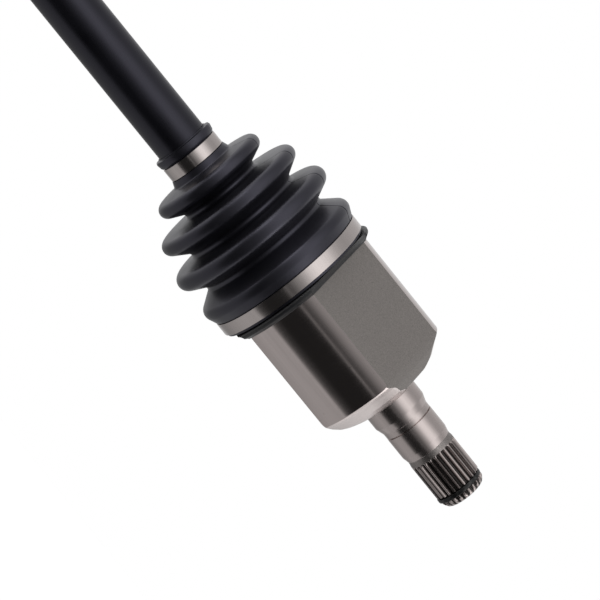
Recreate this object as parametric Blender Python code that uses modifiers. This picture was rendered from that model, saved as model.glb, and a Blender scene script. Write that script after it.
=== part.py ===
"""A front-wheel cv axle: a sliding tripod joint, a bar and a fixed six-ball joint.

The axle lies along the world X axis. The origin is the centre of the inboard stub's end face, and the
bar runs from there towards -X. Distances along the axle ("stations") are in millimetres and negative.
Every turned piece is drawn in a local frame whose Z is the axle's line, and an empty lays it down.
Angles round the axle start at straight down and pass +Y, up and -Y.
"""

import math

import bmesh
import bpy

MM = 0.001
GAP = 0.3  # running clearance between touching solids

# --- driving dimensions, in millimetres ------------------------------------------------------------
BAR_R = 13.6
BAR_NECK_R = 11.2
BAR_SPLINE_R = 10.6

INBOARD_CENTRE = -112.0
LOBE_R = 40.75
FLAT_H = 34.1
SEAT_R = 37.4
HOUSING_MOUTH = -148.0
CAVITY_FLOOR = -76.0
FLAT_AZIMUTHS = (232.4, 359.0, 112.4)
LOBE_AZIMUTHS = (292.4, 52.4, 172.4)

STUB_TEETH = 25
STUB_TIP_R = 13.05
STUB_ROOT_R = 11.9
STUB_CIRCLIP = -5.2

RING_GROOVE_R = 9.6
HUB_HALF_WIDTH = 10.4
TRUNNION_R = 8.3
TRUNNION_END = 29.4
NEEDLE_R = 1.15
NEEDLE_COUNT = 20
NEEDLE_PITCH_R = 9.65
ROLLER_R = 14.0
ROLLER_BORE_R = 11.1
ROLLER_MID = 22.2
ROLLER_HALF_WIDTH = 4.9
TRACK_HALF_WIDTH = 14.9
TRACK_ROOF = 31.5

LARGE_CLAMP_R = 43.0
SMALL_CLAMP_R = 15.6
LARGE_EAR_AZIMUTH = 60.0
SMALL_EAR_AZIMUTH = 75.0
BAND = 0.7
BOOT_WALL = 1.8

OUTBOARD_CENTRE = -494.0
BALL_R = 7.94
BALL_PITCH_R = 27.5
BALL_TRACK_R = 9.4
CAGE_OUTER_R = 30.5
CAGE_INNER_R = 25.2
RACE_R = 24.2
RACE_HALF_WIDTH = 11.5
CAGE_HALF_WIDTH = 11.0
BELL_CAVITY_R = 31.3
BELL_R = 43.0
BELL_MOUTH = -480.0
HUB_FACE = -541.0
AXLE_END = -616.5

HUB_TEETH = 28
HUB_TIP_R = 13.4
HUB_ROOT_R = 12.4
THREAD_R = 11.0
NUT_FACE = -594.2
NUT_END = -611.0
NUT_ACROSS_FLATS = 32.0

HOUSING_STEPS = 30
RING_STEPS = 20
SMALL_STEPS = 16


# --- scene, materials and placing ------------------------------------------------------------------
def clear_scene():
    for obj in list(bpy.data.objects):
        bpy.data.objects.remove(obj, do_unlink=True)


def new_collection(name):
    collection = bpy.data.collections.new(name)
    bpy.context.scene.collection.children.link(collection)
    return collection


def material(name, color, roughness, metallic):
    made = bpy.data.materials.new(name)
    made.use_nodes = True
    shader = made.node_tree.nodes["Principled BSDF"]
    shader.inputs["Base Color"].default_value = (*color, 1.0)
    shader.inputs["Roughness"].default_value = roughness
    shader.inputs["Metallic"].default_value = metallic
    return made


def empty(name, parent=None, station=0.0, azimuth=None):
    """A marker at a station on the axle's line. Given an azimuth, its Z points outwards there instead."""
    made = bpy.data.objects.new(name, None)
    made.empty_display_size = 0.02
    PARTS.objects.link(made)
    made["station"] = station
    if parent is None:
        made.rotation_euler = (0.0, math.radians(90.0), 0.0)
        return made
    made.parent = parent
    made.location.z = (station - parent["station"]) * MM
    if azimuth is not None:
        made["station"] = 0.0
        made.rotation_euler = (0.0, math.radians(90.0), math.radians(azimuth))
    return made


def place(obj, look, parent):
    """Puts a solid in the parts collection, or a helper without a material in the cutters."""
    if look is None:
        CUTTERS.objects.link(obj)
        obj.hide_render = True
        obj.display_type = "WIRE"
    else:
        PARTS.objects.link(obj)
        obj.data.materials.append(look)
    obj.parent = parent
    return obj


# --- shapes ----------------------------------------------------------------------------------------
def turned(name, profile, steps, look, parent, closed=False):
    """A profile of (radius, station) points turned about the axle's line; a flat facet faces down."""
    base = parent["station"]
    points = [(r * MM, 0.0, (station - base) * MM) for r, station in profile]
    edges = [(i, i + 1) for i in range(len(points) - 1)]
    if closed:
        edges.append((len(points) - 1, 0))
    mesh = bpy.data.meshes.new(name)
    mesh.from_pydata(points, edges, [])
    obj = place(bpy.data.objects.new(name, mesh), look, parent)
    obj.rotation_euler.z = math.pi / steps
    screw = obj.modifiers.new("turn", "SCREW")
    screw.steps = steps
    screw.render_steps = steps
    screw.use_merge_vertices = True
    screw.merge_threshold = 0.00005
    return obj


def prism(name, outline, low, high, look, parent):
    """An outline of (x, y) points drawn out between two stations."""
    base = parent["station"]
    shape = bmesh.new()
    corners = [shape.verts.new((x * MM, y * MM, (low - base) * MM)) for x, y in outline]
    face = shape.faces.new(corners)
    grown = bmesh.ops.extrude_face_region(shape, geom=[face])["geom"]
    top = [v for v in grown if isinstance(v, bmesh.types.BMVert)]
    bmesh.ops.translate(shape, verts=top, vec=(0.0, 0.0, (high - low) * MM))
    bmesh.ops.recalc_face_normals(shape, faces=shape.faces[:])
    mesh = bpy.data.meshes.new(name)
    shape.to_mesh(mesh)
    shape.free()
    return place(bpy.data.objects.new(name, mesh), look, parent)


def block(name, size, centre, azimuth, parent, look=None):
    """A box, sizes (radial, around, along), centred at (radius, station) and turned to an azimuth."""
    shape = bmesh.new()
    bmesh.ops.create_cube(shape, size=1.0)
    bmesh.ops.scale(shape, verts=shape.verts[:], vec=[s * MM for s in size])
    radius, station = centre
    shift = (radius * MM, 0.0, (station - parent["station"]) * MM)
    bmesh.ops.translate(shape, verts=shape.verts[:], vec=shift)
    mesh = bpy.data.meshes.new(name)
    shape.to_mesh(mesh)
    shape.free()
    obj = place(bpy.data.objects.new(name, mesh), look, parent)
    obj.rotation_euler.z = math.radians(azimuth)
    return obj


def boolean(obj, helper, operation):
    made = obj.modifiers.new(helper.name, "BOOLEAN")
    made.operation = operation
    made.solver = "EXACT"
    made.object = helper


def cut(obj, *helpers):
    for helper in helpers:
        boolean(obj, helper, "DIFFERENCE")


def join(obj, *helpers):
    for helper in helpers:
        boolean(obj, helper, "UNION")


def arc(centre_r, centre_station, radius, start, end, pieces):
    """Points of an arc in the profile plane; angles in degrees from the outward radial direction."""
    points = []
    for i in range(pieces + 1):
        a = math.radians(start + (end - start) * i / pieces)
        points.append((centre_r + radius * math.cos(a), centre_station + radius * math.sin(a)))
    return points


def spline_outline(teeth, tip_r, root_r):
    """The toothed outline of a spline: flat tips and flat roots, with slanted sides."""
    pitch = 2.0 * math.pi / teeth
    outline = []
    for tooth in range(teeth):
        for radius, share in ((root_r, -0.30), (tip_r, -0.17), (tip_r, 0.17), (root_r, 0.30)):
            a = (tooth + share) * pitch
            outline.append((radius * math.cos(a), radius * math.sin(a)))
    return outline


def needle_outline(count, pitch_r, needle_r, side):
    """The scalloped line that a full ring of needles draws on its outer (side 1) or inner (-1) side."""
    half = math.pi / count
    outline = []
    for i in range(2 * count):
        lift = 1.0 if i % 2 == 0 else 0.4
        radius = pitch_r + side * needle_r * lift
        outline.append((radius * math.cos(i * half), radius * math.sin(i * half)))
    return outline


def open_ring(inner_r, outer_r, gap_degrees, pieces):
    """The outline of a snap ring with a gap at azimuth 0."""
    first = gap_degrees / 2.0
    sweep = 360.0 - gap_degrees
    angles = [math.radians(first + sweep * i / pieces) for i in range(pieces + 1)]
    outer = [(outer_r * math.cos(a), outer_r * math.sin(a)) for a in angles]
    inner = [(inner_r * math.cos(a), inner_r * math.sin(a)) for a in reversed(angles)]
    return outer + inner


def tangent_path(circles, pieces):
    """A bellows profile: arcs over (station, radius_of_centre, arc_radius, side) joined by tangents.

    side is 1 where the path rolls over a ridge and -1 where it rolls through a valley. The path runs
    towards smaller stations, from one plain corner (a circle of radius 0) to another. A ridge is drawn
    in the given number of pieces, and a valley in one fewer.
    """
    normals = []
    for (za, ra, ca, side_a), (zb, rb, cb, side_b) in zip(circles, circles[1:]):
        along, rise = zb - za, rb - ra
        reach = side_a * ca - side_b * cb
        normals.append(math.atan2(rise, along) - math.acos(reach / math.hypot(along, rise)))
    path = []
    for i, (station, radius, size, side) in enumerate(circles):
        if size == 0.0:
            path.append((radius, station))
            continue
        arrive = normals[i - 1]
        leave = arrive + math.remainder(normals[i] - arrive, 2.0 * math.pi)
        for a in spread(arrive, leave, pieces + 1 if side == 1 else pieces):
            path.append((radius + side * size * math.sin(a), station + side * size * math.cos(a)))
    return path


def spread(start, end, count):
    """Evenly spaced values from start to end, or the one halfway between them."""
    if count == 1:
        return [(start + end) / 2.0]
    return [start + (end - start) * k / (count - 1) for k in range(count)]


# --- the bar and the pieces fixed on it ------------------------------------------------------------
def make_bar():
    """The bar: necks and spline seats inside both joints, and a shallow groove under each boot's end."""
    profile = [
        (0.0, -98.0),
        (RING_GROOVE_R, -98.0),
        (BAR_SPLINE_R, -99.0),
        (BAR_SPLINE_R, -99.7),
        (RING_GROOVE_R, -99.7),
        (RING_GROOVE_R, -101.2),
        (BAR_SPLINE_R, -101.2),
        (BAR_SPLINE_R, -122.8),
        (BAR_NECK_R, -123.4),
        (BAR_NECK_R, -186.0),
        (12.9, -200.0),
        (12.9, -224.3),
        (BAR_R, -224.5),
        (BAR_R, -402.5),
        (12.9, -402.7),
        (12.9, -428.0),
        (BAR_NECK_R, -442.0),
        (BAR_NECK_R, -481.9),
        (BAR_SPLINE_R, -482.2),
        (BAR_SPLINE_R, -506.0),
        (RING_GROOVE_R, -506.0),
        (RING_GROOVE_R, -507.5),
        (BAR_SPLINE_R, -507.5),
        (BAR_SPLINE_R, -509.0),
        (RING_GROOVE_R, -510.0),
        (0.0, -510.0),
    ]
    turned("shaft_bar", profile, RING_STEPS, BAR_PAINT, LINE)


def make_spider():
    """The tripod: a hub on the bar's spline and three trunnions, each with a groove for its ring."""
    half = HUB_HALF_WIDTH
    middle = INBOARD_CENTRE
    bore = BAR_SPLINE_R + GAP
    hub = [
        (bore, middle + half),
        (13.5, middle + half),
        (15.5, middle + half - 2.0),
        (15.5, middle - half + 2.0),
        (13.5, middle - half),
        (bore, middle - half),
    ]
    spider = turned("tripod_spider", hub, RING_STEPS, STEEL, CENTRE_IN, closed=True)
    trunnion = [
        (0.0, TRUNNION_END),
        (TRUNNION_R - 0.7, TRUNNION_END),
        (TRUNNION_R, 28.8),
        (TRUNNION_R, 28.7),
        (7.3, 28.7),
        (7.3, 27.3),
        (TRUNNION_R, 27.3),
        (TRUNNION_R, 12.5),
        (0.0, 12.5),
    ]
    for number, line in enumerate(TRUNNIONS, 1):
        join(spider, turned(f"trunnion_{number}", trunnion, SMALL_STEPS, None, line))
    reach = HUB_HALF_WIDTH + 1.6
    hole = [(0.0, middle + reach), (bore, middle + reach), (bore, middle - reach), (0.0, middle - reach)]
    cut(spider, turned("spider_bore", hole, RING_STEPS, None, CENTRE_IN))


def make_rollers():
    """Three crowned rollers on full rings of needles, each kept on its trunnion by a snap ring."""
    low = ROLLER_MID - ROLLER_HALF_WIDTH
    high = ROLLER_MID + ROLLER_HALF_WIDTH
    crown = [
        (ROLLER_BORE_R, high),
        (ROLLER_R - 1.2, high),
        (ROLLER_R - 0.3, high - 1.6),
        (ROLLER_R, ROLLER_MID),
        (ROLLER_R - 0.3, low + 1.6),
        (ROLLER_R - 1.2, low),
        (ROLLER_BORE_R, low),
    ]
    for number, line in enumerate(TRUNNIONS, 1):
        turned(f"tripod_roller_{number}", crown, RING_STEPS, BEARING, line, closed=True)
        needles = needle_outline(NEEDLE_COUNT, NEEDLE_PITCH_R, NEEDLE_R, 1)
        ring = prism(f"needle_rollers_{number}", needles, low + 0.4, high - 0.4, BEARING, line)
        hollow = needle_outline(NEEDLE_COUNT, NEEDLE_PITCH_R, NEEDLE_R, -1)
        cut(ring, prism(f"needle_hollow_{number}", hollow, low - 1.0, high + 1.0, None, line))
        snap = open_ring(7.6, 9.9, 40.0, 16)
        prism(f"roller_retainer_{number}", snap, 27.6, 28.4, SPRING, line)


def make_bar_rings():
    """The snap rings that hold the spider and the inner race on the bar's ends."""
    snap = open_ring(9.9, 12.4, 36.0, 16)
    prism("spider_circlip", snap, -100.9, -100.0, SPRING, LINE)
    prism("race_circlip", snap, -507.2, -506.3, SPRING, LINE)


# --- the inboard housing and what rides on it ------------------------------------------------------
def flats(name, height, low, high, parent):
    """Three cutters that leave flats at a height above the axle's line."""
    depth = 20.0
    centre = (height + depth / 2.0, (low + high) / 2.0)
    size = (depth, 90.0, high - low)
    return [block(f"{name}_{i}", size, centre, a, parent) for i, a in enumerate(FLAT_AZIMUTHS, 1)]


def make_housing():
    """The tulip: three turned lobes and three forged flats, a track for each roller, and the stub."""
    shell = [
        (0.0, 0.0),
        (10.2, 0.0),
        (12.4, -2.6),
        (12.4, -3.9),
        (10.9, -3.9),
        (10.9, -6.5),
        (11.3, -6.5),
        (11.3, -26.0),
        (12.7, -28.5),
        (12.6, -31.7),
        (13.5, -33.7),
        (13.5, -45.5),
        (13.2, -46.0),
        (13.2, -48.2),
        (13.5, -48.7),
        (13.5, -50.0),
        (14.9, -53.7),
        (14.9, -62.3),
        (17.6, -63.4),
        (25.2, -64.8),
        (27.7, -65.9),
        (31.5, -68.0),
        (36.8, -72.3),
        (39.6, -74.4),
        (LOBE_R, -75.5),
        (LOBE_R, -135.4),
        (SEAT_R, -136.0),
        (SEAT_R, HOUSING_MOUTH),
        (0.0, HOUSING_MOUTH),
    ]
    housing = turned("inboard_housing", shell, HOUSING_STEPS, STEEL, CENTRE_IN)
    cut(housing, *flats("housing_flat", FLAT_H, -149.0, -60.0, CENTRE_IN))
    bore = [
        (0.0, CAVITY_FLOOR),
        (19.7, CAVITY_FLOOR),
        (19.7, -119.5),
        (30.8, -149.1),
        (0.0, -149.1),
    ]
    cut(housing, turned("housing_bore", bore, RING_STEPS, None, CENTRE_IN))
    half, roof = TRACK_HALF_WIDTH, TRACK_ROOF
    track = [(5.0, -half), (27.5, -half), (roof, -8.0), (roof, 8.0), (27.5, half), (5.0, half)]
    for number, azimuth in enumerate(LOBE_AZIMUTHS, 1):
        channel = prism(f"roller_track_{number}", track, -149.2, CAVITY_FLOOR - 0.5, None, CENTRE_IN)
        channel.rotation_euler.z = math.radians(azimuth)
        cut(housing, channel)
    groove = [(26.0, -142.7), (31.1, -142.7), (31.1, -145.3), (26.0, -145.3)]
    cut(housing, turned("stop_ring_groove", groove, RING_STEPS, None, CENTRE_IN, closed=True))
    teeth = spline_outline(STUB_TEETH, STUB_TIP_R, STUB_ROOT_R)
    join(housing, prism("stub_spline", teeth, -25.5, -6.9, None, CENTRE_IN))


def wire_ring(name, ring_r, wire_r, station, gap_degrees, points, parent):
    """An open ring of round wire: a curve with a bevel and filled caps."""
    curve = bpy.data.curves.new(name, "CURVE")
    curve.dimensions = "3D"
    curve.bevel_depth = wire_r * MM
    curve.bevel_resolution = 1
    curve.use_fill_caps = True
    line = curve.splines.new("POLY")
    line.points.add(points - 1)
    sweep = 360.0 - gap_degrees
    for i, point in enumerate(line.points):
        a = math.radians(90.0 + gap_degrees / 2.0 + sweep * i / (points - 1))
        z = (station - parent["station"]) * MM
        point.co = (ring_r * MM * math.cos(a), ring_r * MM * math.sin(a), z, 1.0)
    return place(bpy.data.objects.new(name, curve), SPRING, parent)


def make_housing_rings():
    """The wire ring that stops the rollers at the mouth, and the one that holds the stub in its gear."""
    wire_ring("roller_stop_ring", 29.8, 0.9, -144.0, 14.0, 28, CENTRE_IN)
    wire_ring("stub_circlip", 12.3, 1.0, STUB_CIRCLIP, 40.0, 22, CENTRE_IN)


def make_adapter():
    """The trilobe adapter: round outside under the boot, three-lobed inside, with a lobed rim."""
    body = [
        (34.0, -133.6),
        (42.6, -133.6),
        (44.6, -135.4),
        (44.6, -136.8),
        (43.9, -137.6),
        (39.2, -137.6),
        (39.2, -147.0),
        (34.0, -147.0),
    ]
    adapter = turned("trilobe_adapter", body, HOUSING_STEPS, PLASTIC, CENTRE_IN, closed=True)
    cut(adapter, *flats("rim_flat", FLAT_H + 1.1, -137.5, -131.0, CENTRE_IN))
    hole = [
        (0.0, -131.0),
        (LOBE_R + GAP, -131.0),
        (LOBE_R + GAP, -135.8),
        (SEAT_R + GAP, -136.4),
        (SEAT_R + GAP, -148.5),
        (0.0, -148.5),
    ]
    opening = turned("adapter_opening", hole, HOUSING_STEPS, None, CENTRE_IN)
    cut(opening, *flats("opening_flat", FLAT_H + GAP, -149.5, -130.0, CENTRE_IN))
    cut(adapter, opening)


# --- boots and clamps ------------------------------------------------------------------------------
def corners(*points):
    """Plain corners of a bellows path, from (station, radius) pairs."""
    return [(station, radius, 0.0, 1) for station, radius in points]


def boot(name, ridges, ends, parent, flip=1):
    """A rubber bellows of even wall, from its large end to its small end.

    ridges holds the bellows' circles, and ends the plain corners of the large end outside, the small
    end outside, the small end inside and the large end inside. Stations fall from the large end to
    the small one; where the boot faces the other way, flip is -1 and they are given with that sign.
    """
    large_out, small_out, small_in, large_in = [corners(*points) for points in ends]
    inner = [(z, r, size - side * BOOT_WALL, side) for z, r, size, side in ridges]
    outside = tangent_path([large_out[-1], *ridges, small_out[0]], 2)
    inside = tangent_path([large_in[0], *inner, small_in[-1]], 1)
    plain = [(r, z) for z, r, _, _ in small_out[1:] + small_in[:-1]]
    profile = [(r, z) for z, r, _, _ in large_out[:-1]] + outside + plain + inside[::-1]
    profile += [(r, z) for z, r, _, _ in large_in[1:]]
    profile = [(r, flip * z) for r, z in profile][::flip]
    turned(name, profile, RING_STEPS, RUBBER, parent, closed=True)


def make_inboard_boot():
    ridges = [
        (-152.3, 40.4, 4.6, 1),
        (-162.7, 37.4, 2.0, -1),
        (-172.2, 41.0, 4.8, 1),
        (-180.4, 33.0, 2.0, -1),
        (-190.0, 36.8, 4.1, 1),
        (-196.9, 23.0, 1.9, -1),
        (-205.2, 26.7, 4.0, 1),
        (-211.9, 18.2, 1.4, -1),
    ]
    large_out = [(-137.9, 42.0), (-146.3, 42.0), (-146.6, 42.9)]
    small_out = [(-214.2, 15.8), (-214.3, 14.7), (-221.6, 14.7), (-221.8, 15.6), (-225.2, 16.5)]
    small_out.append((-227.0, 15.8))
    small_in = [(-227.0, 13.95), (-224.1, 13.95), (-223.5, 13.2), (-212.2, 13.2)]
    large_in = [(-147.4, 39.9), (-137.9, 39.9)]
    boot("inboard_boot", ridges, (large_out, small_out, small_in, large_in), CENTRE_IN)


def make_outboard_boot():
    ridges = [
        (466.0, 41.8, 4.0, 1),
        (458.2, 38.0, 2.0, -1),
        (450.6, 38.4, 3.9, 1),
        (442.9, 32.4, 2.0, -1),
        (435.6, 31.4, 3.8, 1),
        (428.3, 24.6, 2.0, -1),
        (421.4, 24.6, 3.5, 1),
        (414.9, 18.4, 1.5, -1),
    ]
    large_out = [(490.4, 42.0), (482.4, 42.0), (482.0, 43.0)]
    small_out = [(412.6, 15.8), (412.5, 14.7), (405.4, 14.7), (405.2, 15.6), (401.8, 16.5)]
    small_out.append((400.0, 15.8))
    small_in = [(400.0, 13.95), (402.9, 13.95), (403.5, 13.2), (414.4, 13.2)]
    large_in = [(478.9, 40.0), (490.4, 40.0)]
    boot("outboard_boot", ridges, (large_out, small_out, small_in, large_in), CENTRE_OUT, flip=-1)


def clamp(name, radius, low, high, ear_azimuth, parent):
    """A band clamp: a thin hoop with a pinched ear standing on it."""
    hoop = [(radius - BAND, high), (radius, high), (radius, low), (radius - BAND, low)]
    band = turned(name, hoop, RING_STEPS, STAINLESS, parent, closed=True)
    size = (3.4, 7.0, high - low - 1.0)
    join(band, block(f"{name}_ear", size, (radius + 1.2, (low + high) / 2.0), ear_azimuth, parent))


def make_clamps():
    clamp("inboard_clamp_large", LARGE_CLAMP_R, -146.0, -139.2, LARGE_EAR_AZIMUTH, CENTRE_IN)
    clamp("inboard_clamp_small", SMALL_CLAMP_R, -221.4, -214.5, SMALL_EAR_AZIMUTH, LINE)
    clamp("outboard_clamp_large", LARGE_CLAMP_R, -489.6, -482.8, LARGE_EAR_AZIMUTH, CENTRE_OUT)
    clamp("outboard_clamp_small", SMALL_CLAMP_R, -412.3, -405.6, SMALL_EAR_AZIMUTH, LINE)


# --- the outboard joint ----------------------------------------------------------------------------
def ball_tracks(name):
    """Three ring cutters through the joint's centre line: each makes two opposite ball tracks."""
    rings = []
    for i in range(3):
        bpy.ops.mesh.primitive_torus_add(
            major_segments=28,
            minor_segments=10,
            major_radius=BALL_PITCH_R * MM,
            minor_radius=BALL_TRACK_R * MM,
        )
        ring = bpy.context.object
        ring.name = f"{name}_{i + 1}"
        for collection in list(ring.users_collection):
            collection.objects.unlink(ring)
        place(ring, None, CENTRE_OUT)
        ring.rotation_euler = (math.radians(90.0), 0.0, math.radians(60.0 * i))
        rings.append(ring)
    return rings


def make_bell(tracks):
    """The bell: a round cavity with ball tracks, the boot's seat, the hub spline and the thread."""
    centre = OUTBOARD_CENTRE
    cavity = arc(0.0, centre, BELL_CAVITY_R, -90.0, 21.0, 8)
    cavity[0] = (0.0, centre - BELL_CAVITY_R)
    outside = [
        (33.2, BELL_MOUTH),
        (38.6, BELL_MOUTH),
        (39.3, -481.2),
        (39.3, -490.7),
        (BELL_R, -491.6),
        (BELL_R, -521.0),
        (42.0, -525.0),
        (38.0, -529.0),
        (29.5, -535.0),
        (27.5, -538.0),
        (27.0, HUB_FACE),
        (15.5, HUB_FACE),
        (14.2, -542.0),
        (14.2, -544.0),
        (12.0, -546.0),
        (12.0, -588.5),
        (THREAD_R, -590.0),
        (THREAD_R, AXLE_END + 1.5),
        (THREAD_R - 1.5, AXLE_END),
        (0.0, AXLE_END),
    ]
    bell = turned("outboard_bell", cavity + outside, HOUSING_STEPS, STEEL, CENTRE_OUT)
    cut(bell, *tracks)
    teeth = spline_outline(HUB_TEETH, HUB_TIP_R, HUB_ROOT_R)
    join(bell, prism("hub_spline", teeth, -587.0, -546.5, None, CENTRE_OUT))


def make_race(tracks):
    """The inner race: a ball-shaped ring on the bar, with the same ball tracks."""
    bore = BAR_SPLINE_R + GAP
    centre = OUTBOARD_CENTRE
    lean = math.degrees(math.asin(RACE_HALF_WIDTH / RACE_R))
    profile = [(bore, centre + RACE_HALF_WIDTH)]
    profile += arc(0.0, centre, RACE_R, lean, -lean, 6)
    profile.append((bore, centre - RACE_HALF_WIDTH))
    race = turned("inner_race", profile, RING_STEPS, BEARING, LINE, closed=True)
    cut(race, *tracks)


def make_cage():
    """The ball cage: a slice of a hollow sphere with a window for each ball."""
    centre = OUTBOARD_CENTRE
    outer_lean = math.degrees(math.asin(CAGE_HALF_WIDTH / CAGE_OUTER_R))
    inner_lean = math.degrees(math.asin(CAGE_HALF_WIDTH / CAGE_INNER_R))
    profile = arc(0.0, centre, CAGE_OUTER_R, outer_lean, -outer_lean, 3)
    profile += arc(0.0, centre, CAGE_INNER_R, -inner_lean, inner_lean, 3)
    cage = turned("ball_cage", profile, HOUSING_STEPS, BEARING, CENTRE_OUT, closed=True)
    size = (14.0, 19.0, 16.6)
    middle = (28.0, centre)
    for i in range(6):
        cut(cage, block(f"cage_window_{i + 1}", size, middle, 60.0 * i, CENTRE_OUT))


def make_balls():
    """The six drive balls, each in its window."""
    for i in range(6):
        shape = bmesh.new()
        bmesh.ops.create_uvsphere(shape, u_segments=14, v_segments=8, radius=BALL_R * MM)
        mesh = bpy.data.meshes.new(f"drive_ball_{i + 1}")
        shape.to_mesh(mesh)
        shape.free()
        mesh.shade_smooth()
        ball = place(bpy.data.objects.new(f"drive_ball_{i + 1}", mesh), BEARING, CENTRE_OUT)
        a = math.radians(60.0 * i)
        ball.location = (BALL_PITCH_R * MM * math.cos(a), BALL_PITCH_R * MM * math.sin(a), 0.0)


def make_nut():
    """The axle nut: a hexagon with a flange, on the bell's thread."""
    bore = THREAD_R + GAP
    flange = [
        (bore, NUT_FACE),
        (18.8, NUT_FACE),
        (20.0, NUT_FACE - 1.8),
        (17.0, NUT_FACE - 4.4),
        (bore, NUT_FACE - 4.4),
    ]
    nut = turned("axle_nut", flange, RING_STEPS, ZINC, CENTRE_OUT, closed=True)
    corner_r = NUT_ACROSS_FLATS / math.sqrt(3.0)
    hexagon = []
    for k in range(6):
        a = math.radians(60.0 * k)
        hexagon.append((corner_r * math.cos(a), corner_r * math.sin(a)))
    join(nut, prism("nut_hexagon", hexagon, NUT_END, NUT_FACE - 3.3, None, CENTRE_OUT))
    hole = [(0.0, NUT_FACE + 4.0), (bore, NUT_FACE + 4.0), (bore, NUT_END - 3.0), (0.0, NUT_END - 3.0)]
    cut(nut, turned("nut_hole", hole, RING_STEPS, None, CENTRE_OUT))


# --- the whole axle --------------------------------------------------------------------------------
clear_scene()
PARTS = new_collection("cv_axle")
CUTTERS = new_collection("cv_axle_cutters")

BAR_PAINT = material("bar_paint", (0.012, 0.012, 0.013), 0.38, 0.0)
RUBBER = material("boot_rubber", (0.018, 0.018, 0.020), 0.5, 0.0)
PLASTIC = material("adapter_plastic", (0.020, 0.020, 0.022), 0.5, 0.0)
STEEL = material("machined_steel", (0.55, 0.52, 0.50), 0.3, 1.0)
STAINLESS = material("clamp_steel", (0.62, 0.60, 0.58), 0.25, 1.0)
BEARING = material("bearing_steel", (0.60, 0.60, 0.61), 0.15, 1.0)
SPRING = material("ring_steel", (0.03, 0.03, 0.03), 0.4, 0.6)
ZINC = material("nut_zinc", (0.65, 0.64, 0.60), 0.35, 1.0)

LINE = empty("axle_line")
CENTRE_IN = empty("inboard_joint_centre", LINE, INBOARD_CENTRE)
CENTRE_OUT = empty("outboard_joint_centre", LINE, OUTBOARD_CENTRE)
TRUNNIONS = []
for number, azimuth in enumerate(LOBE_AZIMUTHS, 1):
    TRUNNIONS.append(empty(f"trunnion_line_{number}", CENTRE_IN, INBOARD_CENTRE, azimuth))

make_bar()
make_spider()
make_rollers()
make_bar_rings()
make_housing()
make_housing_rings()
make_adapter()
make_inboard_boot()
make_outboard_boot()
make_clamps()
TRACKS = ball_tracks("ball_track")
make_bell(TRACKS)
make_race(TRACKS)
make_cage()
make_balls()
make_nut()
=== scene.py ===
"""The looks of the cv axle: finely turned shells, two rubber boots, clamps, splines and a thread.

The axle lies along the world X axis. Distances along it ("stations") and radii are in millimetres,
and the angle round it ("azimuth") starts at straight down and passes +Y, up and -Y, in degrees.
"""

import math

import bmesh
import bpy
import numpy as np
from mathutils import Matrix, Vector


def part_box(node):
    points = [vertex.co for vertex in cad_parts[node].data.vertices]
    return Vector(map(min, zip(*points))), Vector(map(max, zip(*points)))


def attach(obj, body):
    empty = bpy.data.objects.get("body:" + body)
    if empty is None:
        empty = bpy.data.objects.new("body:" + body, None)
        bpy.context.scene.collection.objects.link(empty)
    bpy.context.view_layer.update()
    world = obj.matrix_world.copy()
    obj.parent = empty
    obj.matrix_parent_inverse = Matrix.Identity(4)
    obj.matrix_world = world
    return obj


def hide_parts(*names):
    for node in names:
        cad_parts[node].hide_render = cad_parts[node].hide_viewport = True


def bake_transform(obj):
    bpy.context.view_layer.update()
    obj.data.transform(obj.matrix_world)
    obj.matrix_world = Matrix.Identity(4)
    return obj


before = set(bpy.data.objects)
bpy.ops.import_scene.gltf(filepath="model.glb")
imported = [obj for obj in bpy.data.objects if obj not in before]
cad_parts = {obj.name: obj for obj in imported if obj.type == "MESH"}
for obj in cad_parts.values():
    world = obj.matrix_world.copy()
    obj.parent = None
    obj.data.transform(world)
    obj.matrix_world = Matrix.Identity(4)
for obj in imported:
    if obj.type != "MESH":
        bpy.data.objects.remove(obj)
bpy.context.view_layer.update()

MM = 0.001
COLUMNS = 120  # points round a turned piece
CORE_R = 0.2  # a solid turned piece is closed at each end by a face that starts at this radius
NO_LIMIT = 99.0  # a radius that no piece reaches
SHARP = math.radians(33.0)  # edges that turn more than this stay crisp

# --- where things are, in millimetres --------------------------------------------------------------
AXLE_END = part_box("outboard_bell")[0].x / MM
OUTBOARD_CENTRE = -494.0
BAR_R = 13.6
FLAT_AZIMUTHS = (112.4, 232.4, 359.0)
LOBE_AZIMUTHS = (52.4, 172.4, 292.4)
LOBE_R = 40.75
FLAT_H = 34.1  # from the axle's line to the housing's flats
SEAM_AZIMUTH = 203.0  # the mould's parting line on both boots
SEAM_HALF_WIDTH = 0.6  # degrees
RIM_LIGHT_REACH = 170.0  # degrees; how far the painted rim light, a lighter grey on the rubber, reaches round from the parting line
RIM_LIGHT_FADE = 10.0  # degrees over which it ends


# --- profiles --------------------------------------------------------------------------------------
def rounded(points, fillet=0.25, pieces=4, closed=False):
    """(radius, station) points with rounded corners; a third number is a corner's own fillet."""
    count = len(points)
    smooth = []
    for i, point in enumerate(points):
        here = np.array(point[:2], float)
        if not closed and i in (0, count - 1):
            smooth.append(here)
            continue
        to_last = np.array(points[i - 1][:2], float) - here
        to_next = np.array(points[(i + 1) % count][:2], float) - here
        last_length, next_length = np.linalg.norm(to_last), np.linalg.norm(to_next)
        to_last, to_next = to_last / last_length, to_next / next_length
        half_angle = math.acos(np.clip(to_last @ to_next, -1.0, 1.0)) / 2.0
        wanted = point[2] if len(point) > 2 else fillet
        if wanted == 0.0 or half_angle > math.radians(86.0):
            smooth.append(here)
            continue
        reach = min(wanted / math.tan(half_angle), 0.45 * last_length, 0.45 * next_length)
        start, end = here + to_last * reach, here + to_next * reach
        for k in range(pieces + 1):
            t = k / pieces
            smooth.append((1 - t) ** 2 * start + 2 * t * (1 - t) * here + t**2 * end)
    return np.array(smooth)


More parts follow.
